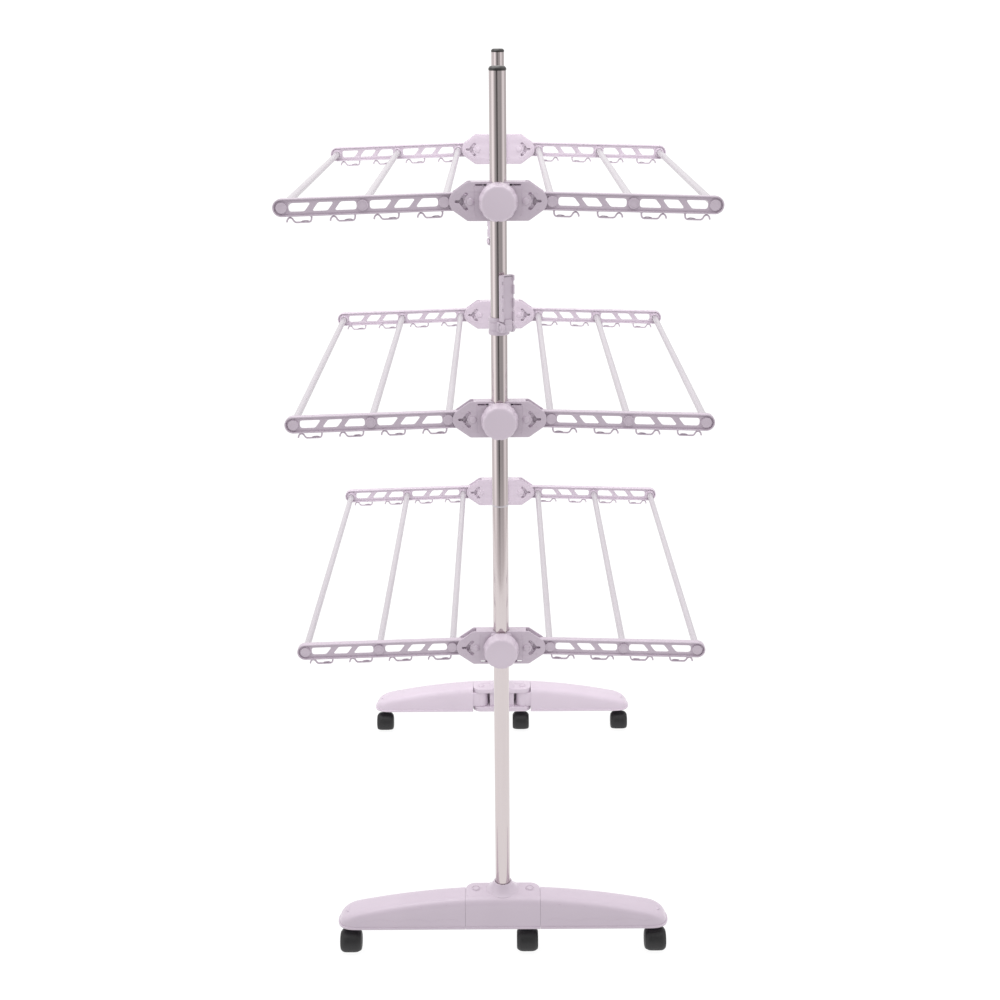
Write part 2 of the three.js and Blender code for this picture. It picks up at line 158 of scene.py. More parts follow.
def black():
    m, nt, b = new_mat("caster_black")
    n = noise(nt, 550.0, 5.0, 0.7)
    col = ramp(nt, n, [(0.35, (0.006, 0.006, 0.007)), (0.75, (0.020, 0.019, 0.021))])
    nt.links.new(col.outputs["Color"], b.inputs["Base Color"])
    rr = ramp(nt, n, [(0.3, (0.42,) * 3), (0.7, (0.60,) * 3)])
    nt.links.new(rr.outputs["Color"], b.inputs["Roughness"])
    bump(nt, b, n, 0.25, 0.0002)
    return m


BLACK = black()
CAP = plastic("cap_dark", (0.020, 0.018, 0.018), (0.035, 0.032, 0.031), 0.25, 0.35, 0.2)


# ---------------------------------------------------------------- mesh tools
class Shape:
    """A mesh under construction, in millimetres."""

    def __init__(self, verts=None, faces=None):
        self.v = [Vector(p) for p in (verts or [])]
        self.f = [list(q) for q in (faces or [])]

    def add(self, other):
        o = len(self.v)
        self.v += [p.copy() for p in other.v]
        self.f += [[i + o for i in q] for q in other.f]
        return self

    def tf(self, m):
        s = Shape([m @ p for p in self.v], self.f)
        if m.to_3x3().determinant() < 0:
            s.f = [q[::-1] for q in s.f]
        return s

    def move(self, x, y, z):
        return self.tf(Matrix.Translation((x, y, z)))


def rot(axis, deg):
    return Matrix.Rotation(math.radians(deg), 4, axis)


def lathe(profile, n=48, axis="Z"):
    """profile of (r, h) from one end to the other; r = 0 closes with a point."""
    s = Shape()
    rings = []
    for r, h in profile:
        if r <= 1e-6:
            s.v.append(Vector((0, 0, h)))
            rings.append([len(s.v) - 1])
        else:
            base = len(s.v)
            for i in range(n):
                a = 2 * math.pi * i / n
                s.v.append(Vector((r * math.cos(a), r * math.sin(a), h)))
            rings.append(list(range(base, base + n)))
    for a, b in zip(rings, rings[1:]):
        for i in range(n):
            j = (i + 1) % n
            if len(a) == 1 and len(b) == 1:
                continue
            if len(a) == 1:
                s.f.append([a[0], b[j], b[i]])
            elif len(b) == 1:
                s.f.append([a[i], a[j], b[0]])
            else:
                s.f.append([a[i], a[j], b[j], b[i]])
    if axis == "Y":
        s = s.tf(rot("X", -90))
    if axis == "X":
        s = s.tf(rot("Y", 90))
    return s


def fillet(profile, idx_r, n=4):
    """rounds the corners of an open profile; idx_r maps corner index to radius."""
    out = []
    for i, p in enumerate(profile):
        if i in idx_r and 0 < i < len(profile) - 1:
            out += corner(profile[i - 1], p, profile[i + 1], idx_r[i], n)
        else:
            out.append(p)
    return out


def corner(a, b, c, r, n):
    a, b, c = Vector((a[0], a[1])), Vector((b[0], b[1])), Vector((c[0], c[1]))
    u, w = (a - b), (c - b)
    lu, lw = u.length, w.length
    if lu < 1e-6 or lw < 1e-6:
        return [tuple(b)]
    u /= lu
    w /= lw
    cosang = max(-1, min(1, u.dot(w)))
    ang = math.acos(cosang)
    if ang > math.pi - 0.05:
        return [tuple(b)]
    d = min(r / math.tan(ang / 2), 0.48 * lu, 0.48 * lw)
    p0, p1 = b + u * d, b + w * d
    out = []
    for k in range(n + 1):
        t = k / n
        q = p0 * (1 - t) ** 2 + b * 2 * t * (1 - t) + p1 * t * t
        out.append((q.x, q.y))
    return out


def rounded(pts, r, n=4):
    out = []
    k = len(pts)
    for i in range(k):
        out += corner(pts[i - 1], pts[i], pts[(i + 1) % k], r, n)
    return out


def arc(cx, cy, r, a0, a1, n):
    return [
        (cx + r * math.cos(math.radians(a0 + (a1 - a0) * i / n)),
         cy + r * math.sin(math.radians(a0 + (a1 - a0) * i / n)))
        for i in range(n + 1)
    ]


def from_object(ob):
    dg = bpy.context.evaluated_depsgraph_get()
    dg.update()
    me = bpy.data.meshes.new_from_object(ob.evaluated_get(dg))
    bm = bmesh.new()
    bm.from_mesh(me)
    bmesh.ops.remove_doubles(bm, verts=bm.verts, dist=1e-4)
    bmesh.ops.recalc_face_normals(bm, faces=bm.faces)
    bm.verts.index_update()
    s = Shape([v.co.copy() for v in bm.verts], [[v.index for v in f.verts] for f in bm.faces])
    bm.free()
    bpy.data.meshes.remove(me)
    return s


def curve_shape(rings, thick, bevel=0.0, res=1, closed=True):
    """flat outline with holes in X,Y, thick along Z and centred on 0, edges rounded."""
    cu = bpy.data.curves.new("c", "CURVE")
    cu.dimensions = "2D" if closed else "3D"
    if closed:
        cu.fill_mode = "BOTH"
        cu.offset = -bevel
    cu.extrude = max(thick / 2 - bevel, 0.001)
    cu.bevel_depth = bevel
    cu.bevel_resolution = res
    for r in rings:
        sp = cu.splines.new("POLY")
        sp.points.add(len(r) - 1)
        for p, q in zip(sp.points, r):
            p.co = (q[0], q[1], 0, 1)
        sp.use_cyclic_u = closed
    ob = bpy.data.objects.new("c", cu)
    bpy.context.scene.collection.objects.link(ob)
    s = from_object(ob)
    bpy.data.objects.remove(ob)
    bpy.data.curves.remove(cu)
    return s


def plate(rings, y0, y1, bevel=0.6, res=1):
    """outline in X,Z, thick from y0 to y1."""
    s = curve_shape(rings, abs(y1 - y0), bevel, res)
    return s.tf(rot("X", 90)).move(0, (y0 + y1) / 2, 0)


def slab(rings, z0, z1, bevel=0.6, res=1):
    """outline in X,Y, thick from z0 to z1."""
    return curve_shape(rings, abs(z1 - z0), bevel, res).move(0, 0, (z0 + z1) / 2)


def ribbon(path, width, r, res=2):
    """flat wire along a path in X,Z, width along Y."""
    cu = bpy.data.curves.new("c", "CURVE")
    cu.dimensions = "3D"
    cu.bevel_mode = "PROFILE" if False else "ROUND"
    cu.bevel_depth = r
    cu.bevel_resolution = res
    cu.use_fill_caps = True
    sp = cu.splines.new("POLY")
    sp.points.add(len(path) - 1)
    for p, q in zip(sp.points, path):
        p.co = (q[0], 0, q[1], 1)
    ob = bpy.data.objects.new("c", cu)
    bpy.context.scene.collection.objects.link(ob)
    s = from_object(ob)
    bpy.data.objects.remove(ob)
    bpy.data.curves.remove(cu)
    m = Matrix.Scale(width / (2 * r), 4, (0, 1, 0))
    return s.tf(m)


def wire3(path, r, res=2):
    cu = bpy.data.curves.new("c", "CURVE")
    cu.dimensions = "3D"
    cu.bevel_depth = r
    cu.bevel_resolution = res
    cu.use_fill_caps = True
    sp = cu.splines.new("POLY")
    sp.points.add(len(path) - 1)
    for p, q in zip(sp.points, path):
        p.co = (q[0], q[1], q[2], 1)
    ob = bpy.data.objects.new("c", cu)
    bpy.context.scene.collection.objects.link(ob)
    s = from_object(ob)
    bpy.data.objects.remove(ob)
    bpy.data.curves.remove(cu)
    return s


def block(x0, x1, y0, y1, z0, z1, r=1.0, seg=3):
    bm = bmesh.new()
    bmesh.ops.create_cube(bm, size=1)
    for v in bm.verts:
        v.co = Vector((x0 if v.co.x < 0 else x1, y0 if v.co.y < 0 else y1, z0 if v.co.z < 0 else z1))
    bmesh.ops.bevel(bm, geom=list(bm.edges), offset=r, segments=seg, affect="EDGES", profile=0.5)
    bm.verts.index_update()
    s = Shape([v.co.copy() for v in bm.verts], [[v.index for v in f.verts] for f in bm.faces])
    bm.free()
    return s


def to_object(s, name="t"):
    me = bpy.data.meshes.new(name)
    me.from_pydata([tuple(p) for p in s.v], [], s.f)
    me.validate()
    ob = bpy.data.objects.new(name, me)
    bpy.context.scene.collection.objects.link(ob)
    return ob


def cut(s, *tools):
    """s minus each tool."""
    ob = to_object(s)
    ts = [to_object(t) for t in tools]
    for t in ts:
        md = ob.modifiers.new("b", "BOOLEAN")
        md.operation = "DIFFERENCE"
        md.solver = "EXACT"
        md.object = t
    out = from_object(ob)
    for o in [ob, *ts]:
        bpy.data.objects.remove(o)
    return out


def smooth_path(pts, n=4):
    """Catmull-Rom through the points."""
    out = []
    k = len(pts)
    for i in range(k - 1):
        p0 = Vector(pts[max(i - 1, 0)])
        p1, p2 = Vector(pts[i]), Vector(pts[i + 1])
        p3 = Vector(pts[min(i + 2, k - 1)])
        for j in range(n):
            t = j / n
            out.append(tuple(0.5 * ((2 * p1) + (p2 - p0) * t + (2 * p0 - 5 * p1 + 4 * p2 - p3) * t * t
                                    + (3 * p1 - p0 - 3 * p2 + p3) * t ** 3)))
    out.append(tuple(pts[-1]))
    return out


MADE = []


def emit(name, s, mat, slot, body, *nodes, angle=38.0):
    me = bpy.data.meshes.new(name)
    me.from_pydata([tuple(p * 0.001) for p in s.v], [], s.f)
    me.validate()
    bm = bmesh.new()
    bm.from_mesh(me)
    bmesh.ops.recalc_face_normals(bm, faces=bm.faces)
    bm.to_mesh(me)
    bm.free()
    me.materials.append(mat)
    me.shade_smooth()
    me.set_sharp_from_angle(angle=math.radians(angle))
    ob = bpy.data.objects.new(name, me)
    bpy.context.scene.collection.objects.link(ob)
    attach(ob, body)
    if nodes:
        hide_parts(*nodes)
    MADE.append(ob)
    return ob


# ---------------------------------------------------------------- shapes
def tube(r, wall, z0, z1, n=64):
    e = 0.3
    return lathe([(r - wall, z0), (r - e, z0), (r, z0 + e), (r, z1 - e), (r - e, z1), (r - wall, z1), (r - wall, z0)], n)


def knob_shape():
    """clamp knob, fluted and tapering to its flat front; axis along -Y, back face at y = 0."""
    n = 144
    prof = [(0.0, 0.0, 0.0), (30.6, 0.0, 0.0), (32.8, 0.9, 0.4), (33.2, 2.6, 1.0), (32.6, 7.0, 1.0),
            (31.4, 14.0, 1.0), (30.4, 18.6, 1.0), (29.7, 21.0, 0.8), (28.6, 22.6, 0.5), (26.8, 23.6, 0.2),
            (24.2, 24.0, 0.0), (0.0, 24.0, 0.0)]
    s = Shape()
    rings = []
    for r, d, w in prof:
        if r == 0:
            s.v.append(Vector((0, -d, 0)))
            rings.append([len(s.v) - 1])
            continue
        base = len(s.v)
        for i in range(n):
            a = 2 * math.pi * i / n
            f = abs(math.sin(6 * a)) ** 0.75
            rr = r * (1 - 0.042 * w * (1 - f))
            s.v.append(Vector((rr * math.cos(a), -d, rr * math.sin(a))))
        rings.append(list(range(base, base + n)))
    for a, b in zip(rings, rings[1:]):
        for i in range(n):
            j = (i + 1) % n
            if len(a) == 1:
                s.f.append([a[0], b[i], b[j]])
            elif len(b) == 1:
                s.f.append([a[i], b[0], a[j]])
            else:
                s.f.append([a[i], b[i], b[j], a[j]])
    stud = lathe([(0, -1), (4, -1), (4, 3.4), (3.5, 3.9), (0, 3.9)], 24, "Y")
    return s, stud


PLATE = [(82, -5), (82, 5), (78, 13.5), (51.5, 32.5), (-51.5, 32.5), (-78, 13.5), (-82, 5), (-82, -5),
         (-78, -13.5), (-51.5, -32.5), (51.5, -32.5), (78, -13.5)]
Y_HALF = [(72.6, 0), (72.2, 1.5), (70.8, 2.2), (64.6, 2.4), (63.0, 5.2), (60.4, 8.8), (57.0, 12.8), (54.2, 14.8), (51.8, 14.6),
          (50.4, 12.9), (50.6, 10.9), (53.0, 8.4), (55.8, 5.0), (55.0, 3.6), (57.0, 1.8)]
Y_SLOT = Y_HALF + [(x, -z) for x, z in Y_HALF[:0:-1]]


def flip_x(pts):
    return [(-x, z) for x, z in pts][::-1]


def cap_slot(x0, x1, z0, z1):
    r = (z1 - z0) / 2
    return arc(x1 - r, (z0 + z1) / 2, r, -90, 90, 5) + arc(x0 + r, (z0 + z1) / 2, r, 90, 270, 5)


def bracket_shapes(slots_down, far):
    outline = rounded(PLATE, 7.0, 4)
    ys = [Y_SLOT, flip_x(Y_SLOT)]
    thin = [cap_slot(17.5, 38.5, 25.8, 28.6), cap_slot(-38.5, -17.5, 25.8, 28.6)]
    bore = lathe([(0, -60), (14.65, -60), (14.65, 60), (0, 60)], 48)
    front = cut(plate([outline, *ys, *thin], -11, -7.8, 0.7, 2), bore)
    back = cut(plate([outline, *ys], 7.8, 11, 0.7, 2), bore)
    body = Shape()
    body.add(front).add(back)
    # outline for a step just inside the front plate's edge, left unused; rims along the top and bottom inside the box
    rimline = [(x * 0.955, z * 0.92) for x, z in rounded(PLATE, 7.0, 4)]
    rims = Shape()
    w1, w2 = (30, 46) if slots_down else (46, 30)
    rims.add(cut(block(-w1, w1, -9.2, 9.2, 29.9, 32.4, 0.6), bore))
    rims.add(cut(block(-w2, w2, -9.2, 9.2, -32.4, -29.9, 0.6), bore))
    # thin web that closes the slots on the far side of the box
    wy = -1 if far else 1
    for sx in (-1, 1):
        xs = sorted((sx * 48.5, sx * 75.0))
        rims.add(block(xs[0], xs[1], min(wy * 6.95, wy * 7.9), max(wy * 6.95, wy * 7.9), -17, 17, 0.2, 1))
    core = cut(block(-19.5, 19.5, -16, 16, -30.0, 30.0, 3.2, 4), bore)
    inner = Shape().add(rims).add(core)
    for sx in (-1, 1):
        # rib walls either side of the sleeve
        inner.add(block(min(sx * 24, sx * 26), max(sx * 24, sx * 26), -8.6, 8.6, -29.5, 29.5, 0.4, 1))
        # collar under the pin
        inner.add(lathe([(4.2, -7.9), (7.4, -7.9), (7.4, -6.9), (4.2, -6.9), (4.2, -7.9)], 28, "Y").move(sx * PIVOT_X, 0, 0))
    trims = Shape()
    for sx in (-1, 1):
        trims.add(wire3([(sx * 40, -11.05, 25.5), (sx * 40, -11.05, -20)], 0.42, 1))
        trims.add(wire3([(sx * 40, -11.05, -20), (sx * 38.8, -11.05, -24)], 0.42, 1))
        trims.add(lathe([(0, -0.2), (1.5, -0.2), (1.5, 0.25), (1.0, 0.6), (0, 0.7)], 16, "Y").tf(rot("Z", 180)).move(sx * 38.6, -11, -24.5))
        for z in (13.5, -13.5):
            trims.add(lathe([(0, -0.2), (1.9, -0.2), (1.9, 0.25), (1.4, 0.55), (0, 0.6)], 20, "Y").tf(rot("Z", 180)).move(sx * 66, -11, z))
    trims.add(wire3([(-40, -11.05, 25.5), (-17, -11.05, 25.0)], 0.25, 1))
    trims.add(wire3([(17, -11.05, 25.0), (40, -11.05, 25.5)], 0.25, 1))
    pins = Shape()
    for sx in (-1, 1):
        dome = [(0, -1), (6.35, -1), (6.35, 0.5)] + [(6.35 * math.cos(math.radians(t)), 0.5 + 3.4 * math.sin(math.radians(t))) for t in (15, 30, 45, 60, 75)] + [(0, 3.9)]
        d = lathe(dome, 40, "Y")
        pins.add(d.tf(rot("Z", 180)).move(sx * PIVOT_X, -10.9, 0))
        low = [(0, -1), (6.35, -1), (6.35, 0.3), (5.8, 1.1), (4.4, 1.7), (0, 1.9)]
        pins.add(lathe(low, 40, "Y").move(sx * PIVOT_X, 10.9, 0))
        pins.add(lathe([(0, -11), (4, -11), (4, 11), (0, 11)], 24, "Y").move(sx * PIVOT_X, 0, 0))
    out = [("plates", body, LILAC), ("sleeve", inner, LILAC), ("trim", trims, LILAC), ("pins", pins, LILAC)]
    if slots_down:
        m = rot("Z", 180) @ rot("X", 180)
        m = rot("Y", 180)
        out = [(n, s.tf(m), q) for n, s, q in out]
    return out


def slot_outlines():
    out = []
    for disc in (DISC_S[2], DISC_S[1]):
        for i, d in enumerate((12.2, 51.2, 89.0)):
            o = disc - d
            e = o - 36.4
            low_out, top_out = o, (o if i == 0 else o - 11.5)
            low_in, top_in = (e if i == 2 else e + 11.5), e
            low_in -= 0.9
            top_in -= 0.9
            low_out += 0.6
            top_out += 0.6
            q = [(low_in, -7.1), (low_out, -7.1), (top_out, 7.1), (top_in, 7.1)]
            big, small = 6.6, 2.4
            radii = [big, small if i else 5.6, big if i else 5.6, small]
            if i == 2:
                radii[0] = radii[3] = 5.6
            o2 = []
            for a in range(4):
                o2 += corner(q[a - 1], q[a], q[(a + 1) % 4], radii[a], 5)
            out.append(o2)
    return out


def hook_path(s):
    pts = [(1.0, 1.5), (1.6, -6.0), (4.6, -9.9), (12, -10.2), (24, -10.3), (28.8, -10.0), (31.5, -7.6),
           (33.8, -3.9), (37.2, -2.2), (40.4, -3.4), (42.6, -6.4), (43.4, -9.6)]
    return smooth_path([(s + x, z - ARM_R) for x, z in pts], 3)


def arm_shapes():
    """tray arm, pivot at 0,0, running to +X; its rods are on the +Y side."""
    outer = ([(27, -ARM_R), (DISC_S[2], -ARM_R)] + arc(DISC_S[2], 0, ARM_R, -86, 86, 16)
             + [(DISC_S[2], ARM_R), (27, ARM_R)] + arc(0, 0, 9.5, 112, 248, 12))
    k = ARM_R - 2.3
    pocket = ([(29.5, -k), (DISC_S[2], -k)] + arc(DISC_S[2], 0, k, -86, 86, 14) + [(DISC_S[2], k), (29.5, k), (12.5, 5.6), (11.0, 0), (12.5, -5.6)])
    bore = arc(0, 0, 4.7, 0, 345, 23)
    rim = plate([outer, pocket, bore], -6.5, 6.5, 0.5, 1)
    web_out = ([(29.5, -k - 0.8), (DISC_S[2], -k - 0.8)] + arc(DISC_S[2], 0, k + 0.8, -86, 86, 12)
               + [(DISC_S[2], k + 0.8), (29.5, k + 0.8), (11.8, 6.3), (9.6, 0), (11.8, -6.3)])
    web = plate([web_out, *slot_outlines()], -1.8, 1.8, 0.5, 1)
    frame_ = Shape().add(rim).add(web)
    discs = Shape()
    for s in DISC_S:
        # plug on the outer face, socket boss on the inner face
        discs.add(lathe([(0, -1), (9.4, -1), (9.4, 3.5), (9.0, 4.1), (8.3, 4.3), (7.9, 4.1), (0, 4.0)], 40, "Y").tf(rot("Z", 180)).move(s, -1.8, 0))
        discs.add(lathe([(6.4, 1.0), (8.05, 1.0), (8.05, 9.9), (7.7, 10.4), (7.1, 10.5), (6.7, 10.1), (6.4, 9.0), (6.4, 1.0)], 40, "Y").move(s, 0, 0))
        discs.add(lathe([(0, 1.0), (10.4, 1.0), (10.4, 4.6), (9.9, 5.1), (9.0, 5.2), (0, 5.2)], 40, "Y").move(s, 0, 0))
    # plain raised ring on the middle plug
    mid = lathe([(5.0, 0), (6.2, 0), (6.2, 0.5), (5.0, 0.5), (5.0, 0)], 36, "Y").tf(rot("Z", 180)).move(DISC_S[1], -5.8, 0)
    discs.add(mid)
    hooks = Shape()
    for s in HOOK_S:
        hooks.add(ribbon(hook_path(s), 5.0, 1.5, 2))
        hooks.add(ribbon(smooth_path([(s + 6, -23.9), (s + 10, -22.6), (s + 17, -23.2), (s + 19, -24.2)], 3), 4.0, 0.8, 1))
        hooks.add(block(s - 0.6, s + 3.4, -2.4, 2.4, -16.6, -14.4, 0.7, 2))
    return [("frame", frame_, LILAC), ("plugs", discs, LILAC), ("hooks", hooks, LILAC_MATT)]


# foot ------------------------------------------------------------------
PROF = [(0, 120.2), (40, 120.0), (73.2, 119.2), (140, 113.5), (213, 103.5), (270, 92.5), (300, 86.0), (330, 78.5)]


def lerp_prof(x):
    x = abs(x)
    for (a, za), (b, zb) in zip(PROF, PROF[1:]):
        if x <= b:
            t = (x - a) / (b - a)
            return za + (zb - za) * t
    return PROF[-1][1]


def foot_top(x):
    # averaged so that the top is one smooth curve
    return sum(lerp_prof(x + d) for d in (-24, -16, -8, 0, 8, 16, 24)) / 7


def section(x, inset, x_end, out, inn):
    """half-width, centre and height of the foot's cross-section at x."""
    cy = (out + inn) / 2
    half = (inn - out) / 2 - inset
    xe = x_end - inset
    z = foot_top(x) - inset
    xs = xe - 36
    if x > xs:
        t = min((x - xs) / (xe - xs), 1.0)
        half *= (1 - t ** 2.5) ** (1 / 2.5)
    xz = xe - 46
    h = z - (LIP_Z + 1)
    if x > xz:
        t = min((x - xz) / (xe - xz), 1.0)
        h *= (1 - t ** 2.6) ** (1 / 2.6)
    return cy, half, h


def ring_at(x, inset, x_end, out, inn, n, p=4.6):
    cy, half, h = section(x, inset, x_end, out, inn)
    pts = []
    for j in range(n + 1):
        a = math.pi * j / n
        c, s = math.cos(a), math.sin(a)
        y = cy - half * math.copysign(abs(c) ** (2 / p), c)
        z = LIP_Z + 1 + h * abs(s) ** (2 / p)
        pts.append(Vector((x, y, z)))
    return pts


def wing_shell():
    x0, x_end, out, inn = SEAM_X + 0.35, 322.6, -44.2, 19.2
    n = 40
    xs = [x0 + (276 - x0) * i / 20 for i in range(20)] + [x_end - 46.6 * (1 - math.sin(math.pi / 2 * i / 18)) for i in range(19)]
    xs[-1] = x_end - 0.02
    s = Shape()
    outer, inner = [], []
    for x in xs:
        pts = ring_at(x, 0, x_end, out, inn, n)
        outer.append(list(range(len(s.v), len(s.v) + n + 1)))
        s.v += pts
    for x in xs:
        xi = x0 + 3 + (x - x0) * (x_end - 3 - x0 - 3) / (x_end - x0)
        pts = ring_at(xi, 3, x_end, out, inn, n)
        inner.append(list(range(len(s.v), len(s.v) + n + 1)))
        s.v += pts
    for g, sgn in ((outer, 1), (inner, -1)):
        for a, b in zip(g, g[1:]):
            for j in range(n):
                q = [a[j], a[j + 1], b[j + 1], b[j]]
                s.f.append(q if sgn > 0 else q[::-1])
    s.f.append(outer[0][:])
    s.f.append(inner[0][::-1])
    for g in (0, n):
        for i in range(len(xs) - 1):
            s.f.append([outer[i][g], outer[i + 1][g], inner[i + 1][g], inner[i][g]])
    s.f.append([outer[0][0], inner[0][0], inner[0][n], outer[0][n]])
    s.f.append([outer[-1][j] for j in range(n + 1)])
    s.f.append([inner[-1][j] for j in range(n, -1, -1)])
    s.f.append([outer[-1][0], outer[-1][n], inner[-1][n], inner[-1][0]])
    return s


def plan_outline(out, inn, x_start, x_end, n=20):
    cy, ry = (out + inn) / 2, (inn - out) / 2
    pts = [(x_start, inn)]
    for i in range(n + 1):
        a = math.pi / 2 - math.pi * i / n
        c, sn = math.cos(a), math.sin(a)
        pts.append((x_end - 38 + 38 * abs(c) ** 0.8, cy + ry * math.copysign(abs(sn) ** 0.8, sn)))
    pts.append((x_start, out))
    return pts[::-1]


def wing_shapes():
    shell = wing_shell()
    lip_o = plan_outline(-46, 21, SEAM_X + 0.35, 325)
    lip_i = plan_outline(-40.5, 15.5, SEAM_X + 3.5, 319)
    lip = slab([lip_o, lip_i], 56.0, 61.0, 1.1, 2)
    # wave line on the outer side
    wave = []
    x_end, out, inn = 322.6, -44.2, 19.2
    for i in range(121):
        x = 86 + (292 - 86) * i / 120
        t = (x - 86) / 34.0
        z = 72.5 + 6.5 * abs(math.sin(math.pi * t * 0.5 + 0.6)) + 3.0 * (x - 86) / 206 * 0
        cy, half, h = section(x, 0, x_end, out, inn)
        sn = (z - LIP_Z - 1) / h
        sn = min(max(sn, 0.0), 0.999) ** (4.6 / 2)
        c = math.sqrt(max(0.0, 1 - sn * sn))
        y = cy - half * c ** (2 / 4.6)
        wave.append((x, y + 0.15, z))
    line = wire3(wave, 0.42, 1)
    parts = Shape().add(lip).add(line)
    # hinge knuckle with its neck, and the caster boss
    kn = lathe(fillet([(4.35, 69.35), (17, 69.35), (17, 106.65), (4.35, 106.65)], {1: 1.6, 2: 1.6}) + [(4.35, 69.35)], 48).move(53, 0.5, 0)
    neck = cut(block(56, 77, -15.6, 16.6, 69.4, 106.6, 1.4), lathe([(0, 60), (4.35, 60), (4.35, 120), (0, 120)], 24).move(53, 0.5, 0))
    boss = lathe([(5.0, 56.2), (8.6, 56.2), (9, 56.7), (9, 82.5), (0, 82.5), (0, 67.5), (5.0, 67.5), (5.0, 56.2)], 36).move(300, -12.5, 0)
    ribs = Shape()
    for x in (110, 160, 210, 260):
        ribs.add(block(x - 1, x + 1, -40, 15, 60, foot_top(x) - 6, 0.3, 1))
    return [("shell", shell, LILAC), ("lip", parts, LILAC), ("knuckle", Shape().add(kn).add(neck), LILAC), ("boss", boss.add(ribs), LILAC_MATT)]


def center_shapes(mid_side):
    x = SEAM_X
    # outer wall with its rounded top edge, straight between the seams
    sec = []
    out, p = -44.2, 4.6
    cy, half = -12.5, 31.7
    n = 22
    nx = 16
    s = Shape()
    rows = []
    for i in range(nx + 1):
        xx = -x + 2 * x * i / nx
        h = foot_top(xx) - LIP_Z - 1
        row = []
        for j in range(n + 1):
            a = (math.pi / 2) * j / n
            c, sn = math.cos(a), math.sin(a)
            row.append(Vector((xx, cy - half * c ** (2 / p), LIP_Z + 1 + h * sn ** (2 / p))))
        row.append(Vector((xx, -12.5, LIP_Z + 1 + h - 3)))
        row.append(Vector((xx, -21.5, LIP_Z + 1 + h - 3)))
        row.append(Vector((xx, -21.5, LIP_Z + 1)))
        rows.append(list(range(len(s.v), len(s.v) + len(row))))
        s.v += row
    m = len(rows[0])
    for a, b in zip(rows, rows[1:]):
        for j in range(m):
            k = (j + 1) % m
            s.f.append([a[j], a[k], b[k], b[j]])
    s.f.append(rows[0][::-1])
    s.f.append(rows[-1][:])
    wall = s
    ear = ([(-x, -20), (x, -20), (x, 0.5)] + arc(53, 0.5, 20.2, 0, 90, 10)[1:] + [(32, 20.7), (-32, 20.7)]
           + arc(-53, 0.5, 20.2, 90, 180, 10)[:-1] + [(-x, 0.5)])
    pole = lathe([(0, 69.65), (14.65, 69.65), (14.65, 160), (0, 160)], 48)
    holes = [lathe([(0, 40), (5.0, 40), (5.0, 67), (0, 67)], 24).move(mid_side * 48, -12.5, 0)]
    upper = [(-x, -24), (x, -24), (x, 0.5)] + arc(53, 0.5, 20.2, 0, 90, 10)[1:] + [(32, 20.7), (-32, 20.7)] + arc(-53, 0.5, 20.2, 90, 180, 10)[:-1] + [(-x, 0.5)]
    top = cut(slab([upper], 107, 119.3, 1.6, 3), pole)
    bot = cut(slab([[(-x, -44)] + [(x, -44)] + upper[2:]], 60.5, 69, 0.8, 2), holes[0])
    lip_o = [(-x, -46), (x, -46), (x, 0.5)] + arc(53, 0.5, 20.2, 0, 90, 10)[1:] + arc(-53, 0.5, 20.2, 90, 180, 10)[:-1] + [(-x, 0.5)]
    lip_i = [(-x + 5, -40), (x - 5, -40), (x - 5, 0.5), (53, 15), (-53, 15), (-x + 5, 0.5)]
    lip = slab([lip_o, lip_i], 56.0, 61.0, 1.1, 2)
    core = Shape()
    core.add(cut(block(-30.8, 30.8, -22, 14, 62, 112, 2.0), pole))
    core.add(cut(lathe(fillet([(0, 58), (20.5, 58), (20.5, 112), (0, 112)], {1: 1.2, 2: 1.2}), 56).move(0, 7.5, 0), pole))
    cone = lathe([(14.65, 112), (33, 112), (33, 118.2), (32.4, 119.8), (30.0, 121.2), (26.2, 124.2), (22.6, 128.4), (19.8, 132.6),
                  (18.1, 135.6), (17.4, 137.0), (16.8, 137.5), (15.2, 137.5), (14.65, 136.9), (14.65, 112)], 64)
    cone = cut(cone, block(-60, 60, 20.4, 60, 100, 150, 0.1, 1))
    pins = Shape()
    for sx in (-1, 1):
        pins.add(lathe([(0, 66), (4, 66), (4, 118), (6.2, 118.4), (6.2, 119.9), (5.7, 120.5), (0, 120.7)], 28).move(sx * 53, 0.5, 0))
        pins.add(lathe([(7.2, 118.8), (8.6, 118.8), (8.6, 119.9), (8.1, 120.4), (7.2, 120.2), (7.2, 118.8)], 28).move(sx * 53, 0.5, 0))
    return [("wall", wall, LILAC), ("ears", Shape().add(top).add(bot).add(lip), LILAC), ("core", core, LILAC),
            ("cone", cone, LILAC), ("pins", pins, LILAC)]


